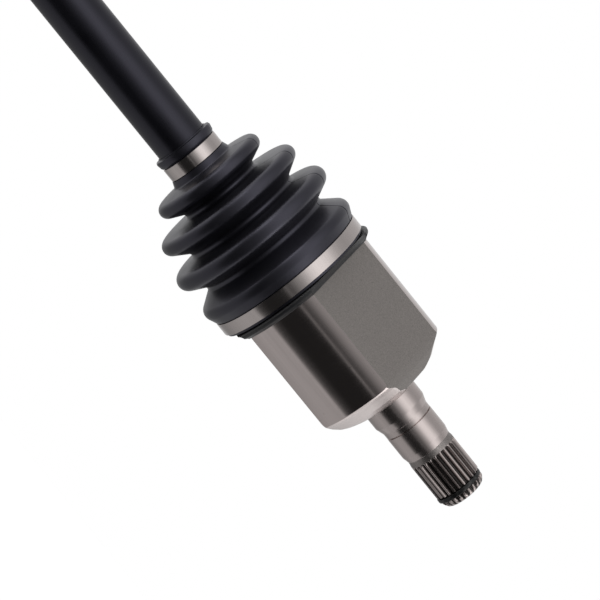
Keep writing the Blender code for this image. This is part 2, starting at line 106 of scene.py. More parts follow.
def tangent_path(circles, pieces):
    """A bellows profile: arcs over (station, radius_of_centre, arc_radius, side) joined by tangents.

    side is 1 over a ridge and -1 through a valley, and stations fall along the path.
    """
    normals = []
    for (za, ra, ca, side_a), (zb, rb, cb, side_b) in zip(circles, circles[1:]):
        along, rise = zb - za, rb - ra
        reach = side_a * ca - side_b * cb
        normals.append(math.atan2(rise, along) - math.acos(reach / math.hypot(along, rise)))
    path = []
    for (station, radius, size, side), arrive, leave in zip(circles[1:-1], normals, normals[1:]):
        leave = arrive + math.remainder(leave - arrive, 2.0 * math.pi)
        for a in np.linspace(arrive, leave, pieces + 1):
            path.append((radius + side * size * math.sin(a), station + side * size * math.cos(a)))
    return path


def densified(profile, longest, hem=0.12):
    """The same line with extra points along its straight runs, and a hem's width from their ends."""
    fine = [profile[0]]
    for last, point in zip(profile, profile[1:]):
        run = float(np.linalg.norm(point - last))
        shares = np.linspace(0.0, 1.0, max(1, math.ceil(run / longest)) + 1)[1:]
        if run > 5.0 * hem:
            shares = np.sort(np.concatenate([[hem / run, 1.0 - hem / run], shares]))
        fine += [last + (point - last) * share for share in shares]
    return np.array(fine)


def even(columns=COLUMNS):
    """Evenly spaced azimuths."""
    return np.arange(columns) * 360.0 / columns


# --- meshes ----------------------------------------------------------------------------------------
def new_piece(name, points, faces):
    """A new object in the scene with its mesh built from points in metres."""
    mesh = bpy.data.meshes.new(name)
    mesh.from_pydata(points, [], faces)
    piece = bpy.data.objects.new(name, mesh)
    bpy.context.scene.collection.objects.link(piece)
    outwards(mesh)
    return piece


def grid_faces(rows, columns, closed):
    """The faces of a tube whose rows are rings of points, with its ends joined if closed, or capped."""
    around = np.arange(columns)
    beside = (around + 1) % columns
    faces = []
    for row in range(rows if closed else rows - 1):
        low, high = row * columns, (row + 1) % rows * columns
        faces += np.stack([low + around, high + around, high + beside, low + beside], axis=-1).tolist()
    if not closed:
        faces += [around[::-1].tolist(), ((rows - 1) * columns + around).tolist()]
    return faces


def skin(name, radii, stations, azimuths, closed=False):
    """A closed mesh from grids of radius, station and azimuth: rows run along, columns run round.

    A single row or column stands for all of them.
    """
    radii, stations, azimuths = np.broadcast_arrays(radii, stations, azimuths)
    angle = np.radians(azimuths)
    x = stations * MM
    y = radii * np.sin(angle) * MM
    z = -radii * np.cos(angle) * MM
    points = np.stack([x, y, z], axis=-1).reshape(-1, 3)
    return new_piece(name, points.tolist(), grid_faces(*x.shape, closed))


def outwards(mesh):
    """Turns every face outwards and shades the mesh smooth between its sharp edges."""
    shape = bmesh.new()
    shape.from_mesh(mesh)
    bmesh.ops.remove_doubles(shape, verts=shape.verts[:], dist=1e-7)
    bmesh.ops.recalc_face_normals(shape, faces=shape.faces[:])
    if shape.calc_volume(signed=True) < 0:
        bmesh.ops.reverse_faces(shape, faces=shape.faces[:])
    shape.to_mesh(mesh)
    shape.free()
    mesh.shade_smooth()
    mesh.set_sharp_from_angle(angle=SHARP)


def turned(name, profile, columns=COLUMNS):
    """A profile of (radius, station) points turned about the axle's line."""
    return skin(name, profile[:, :1], profile[:, 1:], even(columns))


def carve(piece, cutters):
    """Cuts the cutters out of a piece for good, and removes them."""
    for cutter in cutters:
        modifier = piece.modifiers.new("carve", "BOOLEAN")
        modifier.object = cutter
        modifier.operation = "DIFFERENCE"
        modifier.solver = "EXACT"
    graph = bpy.context.evaluated_depsgraph_get()
    mesh = bpy.data.meshes.new_from_object(piece.evaluated_get(graph))
    piece.modifiers.clear()
    piece.data = mesh
    for cutter in cutters:
        bpy.data.objects.remove(cutter)
    mesh.shade_smooth()
    mesh.set_sharp_from_angle(angle=SHARP)


def swept_band(name, path, low, high, thickness, rounding):
    """A flat strip of sheet metal bent along a closed (radius, azimuth) path between two stations."""
    radii, azimuths = np.array(path).T
    angle = np.radians(azimuths)
    points = np.column_stack([radii * np.sin(angle), -radii * np.cos(angle)])
    ahead = np.roll(points, -1, axis=0) - np.roll(points, 1, axis=0)
    ahead /= np.linalg.norm(ahead, axis=1)[:, None]
    out = np.stack([ahead[:, 1], -ahead[:, 0]], axis=1)
    if np.sum(out * points) < 0:
        out = -out
    half = thickness / 2.0
    outline = [(half, low), (half, high), (-half, high), (-half, low)]
    rows = []
    for lift, station in rounded(outline, rounding, 3, closed=True):
        side = points + out * lift
        rows.append(np.column_stack([np.full(len(side), station), side]) * MM)
    grid = np.array(rows)
    return new_piece(name, grid.reshape(-1, 3).tolist(), grid_faces(*grid.shape[:2], closed=True))


# --- materials -------------------------------------------------------------------------------------
class Nodes:
    """A node tree and short ways to add to it; an input is a value or another node's output."""

    def __init__(self, owner):
        owner.use_nodes = True
        self.tree = owner.node_tree

    def add(self, kind, inputs=None, **settings):
        """A node with some of its settings and inputs filled in."""
        node = self.tree.nodes.new(kind)
        for name, value in settings.items():
            setattr(node, name, value)
        for socket, value in (inputs or {}).items():
            if isinstance(value, bpy.types.NodeSocket):
                self.tree.links.new(value, node.inputs[socket])
            else:
                node.inputs[socket].default_value = value
        return node

    def math(self, operation, *values):
        """The result of a sum, a product or another operation on values."""
        return self.add("ShaderNodeMath", dict(enumerate(values)), operation=operation).outputs[0]

    def ramp(self, value, low, high, to_low=0.0, to_high=1.0, kind="LINEAR"):
        """value mapped from low..high to to_low..to_high, and kept between them."""
        inputs = {"Value": value, "From Min": low, "From Max": high}
        inputs |= {"To Min": to_low, "To Max": to_high}
        return self.add("ShaderNodeMapRange", inputs, interpolation_type=kind).outputs["Result"]


class Look(Nodes):
    """A Principled material whose colour, roughness and bump are built from procedural nodes."""

    def __init__(self, name, color, roughness, metallic=0.0, **settings):
        self.material = bpy.data.materials.new(name)
        super().__init__(self.material)
        self.shader = self.tree.nodes["Principled BSDF"]
        self.shader.inputs["Base Color"].default_value = (*color, 1.0)
        self.shader.inputs["Roughness"].default_value = roughness
        self.shader.inputs["Metallic"].default_value = metallic
        for socket, value in settings.items():
            self.shader.inputs[socket.replace("_", " ")].default_value = value
        self.color = color
        self.place = self.add("ShaderNodeTexCoord").outputs["Object"]

    def noise(self, scale, stretch=(1.0, 1.0, 1.0), detail=3.0, roughness=0.55):
        """Noise of a scale per metre, drawn out along an axis where its stretch is small."""
        spread = self.add("ShaderNodeVectorMath", {0: self.place, 1: stretch}, operation="MULTIPLY")
        inputs = {"Vector": spread.outputs[0], "Scale": scale, "Detail": detail, "Roughness": roughness}
        return self.add("ShaderNodeTexNoise", inputs).outputs["Fac"]

    def spots(self, scale, size, softness=0.08):
        """1 in small scattered specks and 0 elsewhere."""
        cells = self.add("ShaderNodeTexVoronoi", {"Vector": self.place, "Scale": scale})
        return self.ramp(cells.outputs["Distance"], size + softness, size)

    def mark(self, name):
        """A value that the mesh stores for each of its points."""
        return self.add("ShaderNodeAttribute", attribute_name=name).outputs["Fac"]

    def mix(self, share, first, second):
        """A colour between two others."""
        inputs = {"Factor": share}
        for socket, value in ((6, first), (7, second)):
            inputs[socket] = value if isinstance(value, bpy.types.NodeSocket) else (*value, 1.0)
        return self.add("ShaderNodeMix", inputs, data_type="RGBA").outputs[2]

    def set(self, socket, value):
        """Links a value to one of the shader's inputs."""
        self.tree.links.new(value, self.shader.inputs[socket])

    def bump(self, *layers):
        """Layers of (height, depth in millimetres), laid on one another."""
        normal = None
        for height, depth in layers:
            inputs = {"Height": height, "Distance": depth * MM, "Strength": 1.0}
            if normal is not None:
                inputs["Normal"] = normal
            normal = self.add("ShaderNodeBump", inputs).outputs["Normal"]
        self.set("Normal", normal)


def shade(color, factor):
    """A colour made darker or lighter."""
    return tuple(c * factor for c in color)


COOL_TINT = (0.82, 0.80, 1.0, 1.0)  # of the reflections on the black paint and rubber


def paint_look():
    """Satin black paint on the bar, a little uneven, with fine rubbed streaks along it."""
    look = Look("bar_paint", (0.0060, 0.0060, 0.0080), 0.3, Specular_IOR_Level=0.62)
    look.shader.inputs["Specular Tint"].default_value = COOL_TINT
    cloudy = look.noise(90.0)
    streaks = look.noise(900.0, (0.05, 1.0, 1.0))
    grain = look.noise(2600.0)
    look.set("Base Color", look.mix(cloudy, shade(look.color, 0.8), shade(look.color, 1.3)))
    base, rubbed = look.ramp(cloudy, 0.3, 0.7, 0.26, 0.31), look.ramp(streaks, 0.4, 0.7, 0.0, 0.05)
    look.set("Roughness", look.math("ADD", base, rubbed))
    look.bump((cloudy, 0.05), (grain, 0.006))
    return look.material


def rubber_look():
    """Black moulded rubber: a fine grain, painted rim light as a lighter grey over the half past the
    parting line, and painted shade along the parting line.
    """
    look = Look("boot_rubber", (0.0120, 0.0120, 0.0150), 0.33, Specular_IOR_Level=0.78)
    look.shader.inputs["Specular Tint"].default_value = COOL_TINT
    cloudy = look.noise(60.0)
    grain = look.noise(3200.0, detail=2.0)
    dust = look.spots(420.0, 0.05, 0.03)
    body = look.mix(cloudy, shade(look.color, 0.85), shade(look.color, 1.2))
    # painted rim light: the half past the parting line is mixed towards a lighter grey
    body = look.mix(look.math("MULTIPLY", look.mark("painted_rim_light_half"), 0.8), body, (0.055, 0.055, 0.060))
    dusty = look.mix(look.math("MULTIPLY", dust, 0.25), body, (0.09, 0.09, 0.092))
    # painted shade: along the parting line's groove the colour is taken nearly to black
    look.set("Base Color", look.mix(look.mark("seam"), dusty, shade(look.color, 0.15)))
    look.set("Roughness", look.ramp(look.math("ADD", cloudy, grain), 0.7, 1.3, 0.28, 0.39))
    look.bump((grain, 0.009), (dust, -0.01))
    return look.material


def painted_seam_shade_look():
    """Painted shade for the bottom of the parting line's fine groove, which no light reaches: near
    black, with almost no specular.
    """
    look = Look("boot_seam_shade", (0.0022, 0.0022, 0.0026), 0.9, Specular_IOR_Level=0.05)
    grain = look.noise(3200.0, detail=2.0)
    look.set("Base Color", look.mix(grain, shade(look.color, 0.7), shade(look.color, 1.3)))
    return look.material


def plastic_look():
    """The adapter's black plastic, a little glossier than the boots."""
    look = Look("adapter_plastic", (0.014, 0.0145, 0.0165), 0.42, Specular_IOR_Level=0.6)
    cloudy = look.noise(80.0)
    grain = look.noise(2800.0, detail=2.0)
    look.set("Base Color", look.mix(cloudy, shade(look.color, 0.85), shade(look.color, 1.25)))
    look.set("Roughness", look.ramp(grain, 0.3, 0.7, 0.38, 0.48))
    look.bump((grain, 0.008))
    return look.material


def turned_steel_look(name, color, roughness, rings=0.003, pits=0.5, uneven=0.02):
    """Turned steel: lathe rings round the axle, a soft unevenness and a few dark pits."""
    look = Look(name, color, roughness, 1.0)
    ring = look.noise(2600.0, (1.0, 0.012, 0.012), detail=4.0)
    cloudy = look.noise(70.0)
    drawn = look.noise(700.0, (0.03, 1.0, 1.0), detail=4.0)
    pit = look.spots(160.0, 0.035, 0.02)
    body = look.mix(look.ramp(drawn, 0.35, 0.65), shade(color, 0.955), color)
    look.set("Base Color", look.mix(look.math("MULTIPLY", pit, pits), body, shade(color, 0.35)))
    base = look.ramp(cloudy, 0.3, 0.7, roughness - uneven, roughness + uneven)
    fine = look.ramp(ring, 0.35, 0.65, -uneven, uneven)
    look.set("Roughness", look.math("ADD", base, fine))
    look.bump((ring, rings), (pit, -0.01))
    return look.material


def forged_look():
    """The housing's forged and blasted faces: matte grey with a fine speckle."""
    look = Look("housing_forged", (0.262, 0.240, 0.226), 0.6, 0.25)
    grain = look.noise(2300.0, detail=5.0, roughness=0.75)
    cloudy = look.noise(45.0)
    bright = look.spots(260.0, 0.035, 0.03)
    dark = look.spots(520.0, 0.10, 0.08)
    body = look.mix(look.ramp(grain, 0.36, 0.64), shade(look.color, 0.70), shade(look.color, 1.25))
    body = look.mix(look.ramp(cloudy, 0.3, 0.7, 0.0, 0.1), body, shade(look.color, 0.8))
    body = look.mix(look.math("MULTIPLY", dark, 0.45), body, shade(look.color, 0.45))
    look.set("Base Color", look.mix(look.math("MULTIPLY", bright, 0.4), body, (0.5, 0.48, 0.46)))
    look.set("Roughness", look.ramp(grain, 0.3, 0.7, 0.52, 0.68))
    look.bump((grain, 0.022), (cloudy, 0.06))
    return look.material


def rough_steel_look():
    """The rolled run-out of the splines: dull and finely scored."""
    look = Look("spline_steel", (0.36, 0.33, 0.318), 0.40, 1.0)
    grain = look.noise(2400.0, detail=5.0, roughness=0.75)
    score = look.noise(1800.0, (0.06, 1.0, 1.0))
    body = look.mix(look.ramp(grain, 0.35, 0.65), shade(look.color, 0.6), shade(look.color, 1.3))
    look.set("Base Color", body)
    look.set("Roughness", look.ramp(score, 0.3, 0.7, 0.34, 0.5))
    look.bump((grain, 0.02), (score, 0.006))
    return look.material


def tooth_look():
    """Rolled spline teeth: bright along their tips, dark and dull in the gaps between them."""
    look = Look("tooth_steel", (0.46, 0.405, 0.39), 0.3, 1.0)
    drawn = look.noise(1500.0, (0.04, 1.0, 1.0), detail=4.0)
    gap = look.ramp(look.mark("gap"), 0.25, 1.0)
    tip = look.mix(look.ramp(drawn, 0.35, 0.65), shade(look.color, 0.75), shade(look.color, 1.1))
    look.set("Base Color", look.mix(gap, tip, (0.06, 0.054, 0.052)))
    look.set("Roughness", look.ramp(gap, 0.0, 1.0, 0.27, 0.5))
    look.bump((drawn, 0.003))
    return look.material


def ring_look():
    """Black oxided spring steel with a trace of bare metal."""
    look = Look("ring_steel", (0.022, 0.022, 0.023), 0.36, 0.6)
    cloudy = look.noise(500.0)
    grain = look.noise(3000.0)
    look.set("Base Color", look.mix(look.ramp(cloudy, 0.45, 0.75), look.color, (0.09, 0.088, 0.085)))
    look.set("Roughness", look.ramp(grain, 0.3, 0.7, 0.3, 0.45))
    look.bump((grain, 0.006))
    return look.material


def zinc_look():
    """The nut's zinc plating, faintly mottled."""
    look = Look("nut_zinc", (0.60, 0.588, 0.56), 0.34, 1.0)
    cloudy = look.noise(240.0)
    grain = look.noise(2400.0)
    look.set("Base Color", look.mix(cloudy, shade(look.color, 0.85), (0.63, 0.622, 0.60)))
    look.set("Roughness", look.ramp(grain, 0.3, 0.7, 0.28, 0.42))
    look.bump((grain, 0.008))
    return look.material


def bearing_look():
    """Ground bearing steel for the balls, rollers, race, cage and spider."""
    look = Look("bearing_steel", (0.58, 0.575, 0.57), 0.16, 1.0)
    oil = look.noise(150.0)
    grain = look.noise(3000.0)
    look.set("Base Color", look.mix(oil, shade(look.color, 0.9), shade(look.color, 1.05)))
    look.set("Roughness", look.ramp(oil, 0.3, 0.7, 0.12, 0.22))
    look.bump((grain, 0.002))
    return look.material


BARE_STEEL = (0.62, 0.548, 0.532)
FINE_RINGS = 0.0006
PAINT = paint_look()
RUBBER = rubber_look()
SEAM_SHADE_RUBBER = painted_seam_shade_look()
PLASTIC = plastic_look()
STEEL = turned_steel_look("machined_steel", BARE_STEEL, 0.13, rings=0.001)
FACED_STEEL = turned_steel_look("faced_steel", (0.66, 0.60, 0.585), 0.40, rings=0.002)
STUB_STEEL = turned_steel_look("journal_steel", BARE_STEEL, 0.24, FINE_RINGS, uneven=0.012)
BAND_STEEL = turned_steel_look("clamp_steel", (0.62, 0.562, 0.545), 0.17, FINE_RINGS, 0.3, 0.01)
FORGED = forged_look()
ROUGH_STEEL = rough_steel_look()
TOOTH_STEEL = tooth_look()
RING_STEEL = ring_look()
ZINC = zinc_look()
BEARING = bearing_look()


def finish_piece(piece, looks, node, body=None):
    """Gives a piece its materials, hides the CAD node that it stands for, and lets it ride on a body.
    """
    for look in looks:
        piece.data.materials.append(look)
    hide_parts(node)
    if body:
        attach(piece, body)


# --- the bar ---------------------------------------------------------------------------------------
def make_bar():
    """The bar, with a boot groove near each end and thinner necks inside the boots."""
    profile = [
        (CORE_R, -98.0),
        (9.6, -98.0),
        (10.6, -99.0),
        (10.6, -99.7),
        (9.6, -99.7),
        (9.6, -101.2),
        (10.6, -101.2),
        (10.6, -122.8),
        (11.2, -123.4),
        (11.2, -186.0, 20.0),
        (12.9, -200.0, 20.0),
        (12.9, -224.3),
        (BAR_R, -224.5),
        (BAR_R, -402.5),
        (12.9, -402.7),
        (12.9, -428.0, 20.0),
        (11.2, -442.0, 20.0),
        (11.2, -481.9),
        (10.6, -482.2),
        (10.6, -506.0),
        (9.6, -506.0),
        (9.6, -507.5),
        (10.6, -507.5),
        (10.6, -509.0),
        (9.6, -510.0),
        (CORE_R, -510.0),
    ]
    bar = turned("bar", densified(rounded(profile), 8.0))
    finish_piece(bar, [PAINT], "shaft_bar", "shaft")


# --- the inboard housing ---------------------------------------------------------------------------
# (radius, station) outlines of the lobes and, as heights over the axle's line, of the forged faces.
HOUSING_PROFILE = [
    (12.0, -59.5),
    (14.5, -60.0),
    (14.5, -62.1, 0.0),
    (17.6, -63.4, 1.0),
    (24.6, -64.7, 1.2),
    (27.7, -65.9, 1.5),
    (31.5, -68.0, 2.0),
    (36.8, -72.3, 2.0),
    (39.6, -74.4, 0.7),
    (LOBE_R, -75.5, 0.8),
    (LOBE_R, -135.4),
    (37.4, -136.0),
    (37.4, -148.0),
    (31.0, -148.0),
]
FORGED_PROFILE = [
    (FLAT_H, -150.0),
    (FLAT_H, -76.5, 6.0),
    (31.6, -71.5, 6.0),
    (26.6, -66.0, 2.0),
    (21.0, -64.3, 1.0),
    (17.0, -63.3),
    (17.0, -50.0),
]
FORGED_START = -134.9
FORGED_END = -63.5
CONE_START = -74.3  # from here on towards the stub the lobes are faced, not turned
FLAT_COLUMNS = 14
LOBE_COLUMNS = 30
LEAST_HALF_ANGLE = 3.0  # degrees; how far the forged faces' columns spread where there are no faces
BORE_PROFILE = [(CORE_R, -76.0), (19.7, -76.0), (19.7, -119.5), (30.8, -149.1), (CORE_R, -149.1)]


def make_housing():
    """The tulip: three turned lobes and three forged faces that fall like a dome towards the stub."""
    columns = len(FLAT_AZIMUTHS) * (FLAT_COLUMNS + LOBE_COLUMNS)
    profile = densified(rounded(HOUSING_PROFILE, 0.2), 1.2)
    radius, station = profile[:, 0], profile[:, 1]
    forged = rounded(FORGED_PROFILE, 1.0, 8)
    height = np.interp(station, forged[:, 1], forged[:, 0])
    has_flat = (station < FORGED_END) & (radius > height)
    half = np.where(has_flat, np.degrees(np.arccos(np.clip(height / radius, -1.0, 1.0))), 0.0)
    half = np.maximum(half, LEAST_HALF_ANGLE)
    points = []
    for row in range(len(station)):
        for flat, following in zip(FLAT_AZIMUTHS, (*FLAT_AZIMUTHS[1:], FLAT_AZIMUTHS[0] + 360.0)):
            for k in range(FLAT_COLUMNS):
                offset = half[row] * (2.0 * k / FLAT_COLUMNS - 1.0)
                level = height[row] / math.cos(math.radians(offset)) if has_flat[row] else NO_LIMIT
                points.append((min(radius[row], level), flat + offset))
            sweep = following - flat - 2.0 * half[row]
            for k in range(LOBE_COLUMNS):
                points.append((radius[row], flat + half[row] + sweep * k / LOBE_COLUMNS))
    radii, azimuths = np.array(points).reshape(-1, columns, 2).transpose(2, 0, 1)
    housing = skin("housing_shell", radii, station[:, None], azimuths)
    for look in (STEEL, FORGED, FACED_STEEL):
        housing.data.materials.append(look)
    for face in housing.data.polygons:
        row, column = divmod(face.index, columns)
        x = face.center.x / MM
        if row < len(station) - 1 and x > FORGED_START:
            in_flat = column % (FLAT_COLUMNS + LOBE_COLUMNS) < FLAT_COLUMNS
            if in_flat and has_flat[row] and has_flat[row + 1]:
                face.material_index = 1
            elif x > CONE_START:
                face.material_index = 2
    carve(housing, [turned("bore", rounded(BORE_PROFILE)), *map(roller_track, LOBE_AZIMUTHS)])
    finish_piece(housing, [], "inboard_housing", "housing")


def make_journals():
    """The stub's two turned journals with the fine groove between them."""
    profile = [
        (CORE_R, -66.0),
        (14.9, -66.0),
        (14.9, -54.0, 2.0),
        (13.5, -49.8, 1.6),
        (13.5, -49.3, 0.05),
        (13.4, -49.2, 0.05),
        (13.4, -46.8, 0.05),
        (12.0, -46.75, 0.03),
        (12.0, -46.15, 0.03),
        (13.5, -46.1, 0.08),
        (13.5, -34.0, 1.0),
        (12.9, -31.4, 0.6),
        (12.7, -30.5, 0.2),
        (CORE_R, -30.3),
    ]
    journals = turned("stub_journals", densified(rounded(profile), 2.0), 180)
    finish_piece(journals, [STUB_STEEL], "inboard_housing", "housing")


def roller_track(azimuth):
    """The cutter of one track that a roller runs in."""
    start, length = -149.2, 72.7
    half, floor, shoulder, half_roof, roof = 14.9, 5.0, 27.5, 8.0, 31.5
    outline = [(-half, floor), (half, floor), (half, shoulder)]
    outline += [(half_roof, roof), (-half_roof, roof), (-half, shoulder)]
    shape = bmesh.new()
    face = shape.faces.new([shape.verts.new((start * MM, y * MM, -r * MM)) for y, r in outline])
    grown = bmesh.ops.extrude_face_region(shape, geom=[face])["geom"]
    far = [v for v in grown if isinstance(v, bmesh.types.BMVert)]
    bmesh.ops.translate(shape, verts=far, vec=(length * MM, 0.0, 0.0))
    bmesh.ops.recalc_face_normals(shape, faces=shape.faces[:])
    turn = Matrix.Rotation(math.radians(azimuth), 3, "X")
    bmesh.ops.rotate(shape, verts=shape.verts[:], cent=(0.0, 0.0, 0.0), matrix=turn)
    mesh = bpy.data.meshes.new("roller_track")
    shape.to_mesh(mesh)
    shape.free()
    piece = bpy.data.objects.new("roller_track", mesh)
    bpy.context.scene.collection.objects.link(piece)
    return piece


# --- splines and thread ----------------------------------------------------------------------------
# Half a tooth: shares of a pitch from its middle, and of its height.
HALF_TOOTH = ((0.0, 1.0), (0.12, 0.97), (0.2, 0.75), (0.36, 0.0))
TOOTH_SHAPE = ((-0.5, 0.0), *((-across, up) for across, up in HALF_TOOTH[:0:-1]), *HALF_TOOTH)
RUN_OUT_CURVE = 2.2  # how far the gaps between teeth rise as they run out


def toothed(name, profile, teeth, root):
    """A turned profile with teeth cut into it; root(station) is how low the gaps between them go."""
    places, shares = np.array(TOOTH_SHAPE).T
    azimuths = (np.arange(teeth)[:, None] + places).ravel() * 360.0 / teeth
    radius, station = profile[:, :1], profile[:, 1:]
    depth = np.maximum(radius - root(station), 0.0)
    piece = skin(name, radius - depth * (1.0 - np.tile(shares, teeth)[None, :]), station, azimuths)
    tip = radius.max()
    values = []
    for vertex in piece.data.vertices:
        turn = math.atan2(vertex.co.y, -vertex.co.z) / (2.0 * math.pi) * teeth
        share = float(np.interp(turn - math.floor(turn + 0.5), [*places, 0.5], [*shares, 0.0]))
        gap = float(root(np.array([vertex.co.x / MM]))[0]) < tip - 0.1
        values.append(1.0 - share if gap else 0.0)
    piece.data.attributes.new("gap", "FLOAT", "POINT").data.foreach_set("value", values)
    return piece


def groove_root(level, start, end, run):
    """How low the gaps between teeth reach: level between two stations, rising out over a run."""

    def root(station):
        over = np.maximum(start - station, station - end)
        rise = np.clip(over / run, 0.0, 1.0)
        return np.where(over > run, NO_LIMIT, level + (1.0 - np.sqrt(1.0 - rise**2)) * RUN_OUT_CURVE)

    return root


def paint_rough(piece, low, high):
    """Gives the second material to the faces between two stations."""
    for face in piece.data.polygons:
        if low < face.center.x / MM < high:
            face.material_index = 1


def make_stub_spline():
    """The stub's 25 teeth, the groove of its circlip and the short teeth beyond it."""
    profile = [
        (CORE_R, -31.0),
        (12.5, -31.0),
        (12.7, -30.3, 0.2),
        (12.7, -29.4, 0.5),
        (13.05, -27.6, 0.8),
        (13.05, -7.1),
        (12.6, -6.5),
        (10.9, -6.5),
        (10.9, -3.9),
        (12.3, -3.9),
        (12.5, -3.5),
        (12.3, -2.4, 0.8),
        (11.0, -0.5, 0.5),
        (10.2, 0.0),
        (CORE_R, 0.0),
    ]
    line = densified(rounded(profile, 0.15), 0.8)
    root = groove_root(11.3, start=-24.9, end=5.0, run=2.6)
    spline = toothed("stub_spline", line, 25, root)
    finish_piece(spline, [TOOTH_STEEL, ROUGH_STEEL], "inboard_housing", "housing")
    paint_rough(spline, -31.0, -27.4)


def make_stub_circlip():
    """The black snap ring in the stub's groove, open on the far side."""
    station, ring_r, sag = -5.2, 11.9, 0.4
    thick, wide = 1.1, 1.05  # half of each
    half_gap = 20.0  # degrees
    sweep = np.radians(np.linspace(90.0 + half_gap, 450.0 - half_gap, 90))
    corners = [(-thick, -wide), (thick, -wide), (thick, wide), (-thick, wide)]
    outline = rounded(corners, 0.45, closed=True)
    points = []
    for a in sweep:
        for lift, along in outline:
            r = ring_r + lift
            points.append(((station + along) * MM, r * math.sin(a) * MM, (-r * math.cos(a) - sag) * MM))
    ring = new_piece("stub_snap_ring", points, grid_faces(len(sweep), len(outline), closed=False))
    finish_piece(ring, [RING_STEEL], "stub_circlip", "housing")


# --- the adapter under the inboard boot ------------------------------------------------------------
def make_adapter():
    """The trilobe adapter: a lobed rim with a rounded bead, and a round sleeve under the boot."""
    lobe = rounded(
        [
            (41.2, -133.6),
            (41.9, -133.6, 0.2),
            (42.6, -134.3, 0.5),
            (44.3, -135.3, 0.8),
            (44.6, -136.7, 0.6),
            (43.9, -137.4, 0.3),
            (39.0, -137.6, 0.1),
            (39.0, -147.0),
            (37.8, -147.0),
            (37.8, -136.4),
            (41.2, -135.8),
        ],
        0.3,
        closed=True,
    )
    face = rounded(
        [
            (34.5, -133.6),
            (34.9, -133.6, 0.2),
            (35.3, -134.2, 0.3),
            (36.3, -135.0, 0.3),
            (37.6, -136.4, 0.4),
            (38.8, -137.3, 0.2),
            (39.0, -137.6, 0.1),
            (39.0, -147.0),
            (37.8, -147.0),
            (37.8, -136.4),
            (34.5, -135.8),
        ],
        0.3,
        closed=True,
    )
    junction = math.degrees(math.acos(FLAT_H / LOBE_R))
    beside_junction = [side * junction + step for side in (-1, 1) for step in (-0.1, 0.1)]
    edges = np.add.outer(FLAT_AZIMUTHS, beside_junction).ravel()
    azimuths = np.sort(np.mod(np.concatenate([even(240) + 0.03, edges]), 360.0))
    away = np.min([np.abs((azimuths - flat + 180.0) % 360.0 - 180.0) for flat in FLAT_AZIMUTHS], axis=0)
    on_flat = np.where(away < junction, 1.0, 0.0)
    spread = 1.0 / np.cos(np.radians(np.minimum(away, junction)))
    lobe_r, face_r = lobe[:, :1], face[:, :1]
    sleeve = np.abs(lobe_r - face_r) < 0.01
    flat_r = np.where(sleeve, face_r, np.minimum(face_r * spread[None, :], lobe_r))
    radii = lobe_r + (flat_r - lobe_r) * on_flat[None, :]
    stations = lobe[:, 1:] + (face[:, 1:] - lobe[:, 1:]) * on_flat[None, :]
    adapter = skin("adapter_rim", radii, stations, azimuths, closed=True)
    finish_piece(adapter, [PLASTIC], "trilobe_adapter", "housing")


# --- boots -----------------------------------------------------------------------------------------
BOOT_WALL = 1.8
SEAM_DEPTH = 0.22
ARC_PIECES = 14
# Ridges and valleys as (station, radius of the arc's centre, the arc's own radius, side).
INBOARD_RIDGES = [
    (-152.3, 40.4, 4.6, 1),
    (-162.7, 37.4, 2.0, -1),
    (-172.2, 41.0, 4.8, 1),
    (-180.4, 33.0, 2.0, -1),
    (-190.0, 36.8, 4.1, 1),
    (-196.9, 23.0, 1.9, -1),
    (-205.2, 26.7, 4.0, 1),
    (-211.9, 18.2, 1.4, -1),
]
OUTBOARD_RIDGES = [
    (-466.0, 41.8, 4.0, 1),
    (-458.2, 38.0, 2.0, -1),
    (-450.6, 38.4, 3.9, 1),
    (-442.9, 32.4, 2.0, -1),
    (-435.6, 31.4, 3.8, 1),
    (-428.3, 24.6, 2.0, -1),
    (-421.4, 24.6, 3.5, 1),
    (-414.9, 18.4, 1.5, -1),
]
INBOARD_SPLIT = -166.0  # where the boot's two pieces meet, in a wall of the bellows
OUTBOARD_SPLIT = -451.0
# The lip beyond the small clamp, outside and inside, as (radius, distance from the boot's end).
LIP_OUT = [(14.7, 5.4), (15.5, 5.1), (16.0, 4.4), (16.5, 1.8), (16.1, 0.8), (14.4, 0.4), (14.3, 0.0)]
LIP_IN = [(13.2, 3.5), (13.9, 2.9), (13.9, 0.0)]


def boot_azimuths():
    """Even azimuths with a few more close to the parting line."""
    near = SEAM_AZIMUTH + SEAM_HALF_WIDTH * np.array([-3.0, -1.0, -0.5, 0.0, 0.5, 1.0, 3.0])
    plain = [a for a in even(132) if abs(a - SEAM_AZIMUTH) > 3.5 * SEAM_HALF_WIDTH]
    return np.sort(np.concatenate([plain, near]))


def boot_line(large_end, circles, small_end, sign, pieces):
    """One side of a boot's wall from its large end to its small one.

    The ends are plain (radius, station) points, and circles are the ridges and valleys between them.
    Where stations rise along the boot, sign is -1, and they are worked out falling and turned back.
    """
    first, last = ((sign * z, r, 0.0, 1) for r, z in (large_end[-1], small_end[0]))
    falling = [(sign * z, *rest) for z, *rest in circles]
    bellows = [(r, sign * z) for r, z in tangent_path([first, *falling, last], pieces)]
    return np.array([*large_end, *bellows, *small_end])


def boot_lines(ridges, large_out, large_in, neck_out, neck_in, end, sign):
    """The outer and the inner profile of a boot; sign is 1 where it narrows towards -X, or else -1."""
    small_out = neck_out + [(r, end + sign * reach) for r, reach in LIP_OUT]
    small_in = neck_in + [(r, end + sign * reach) for r, reach in LIP_IN]
    walls = [(z, r, size - side * BOOT_WALL, side) for z, r, size, side in ridges]
    outer = boot_line(large_out, ridges, small_out, sign, ARC_PIECES)
    inner = boot_line(large_in, walls, small_in, sign, ARC_PIECES // 2)
    return outer, inner


def stretch(line, low, high):
    """The part of a line between two stations, with new points where it crosses them."""
    kept = []
    for last, point in zip(line, line[1:]):
        if low <= last[1] <= high:
            kept.append(last)
        run = point - last
        shares = [(edge - last[1]) / run[1] for edge in (low, high) if run[1] != 0.0]
        kept += [last + run * share for share in sorted(shares) if 0.0 < share < 1.0]
    if low <= line[-1][1] <= high:
        kept.append(line[-1])
    return kept


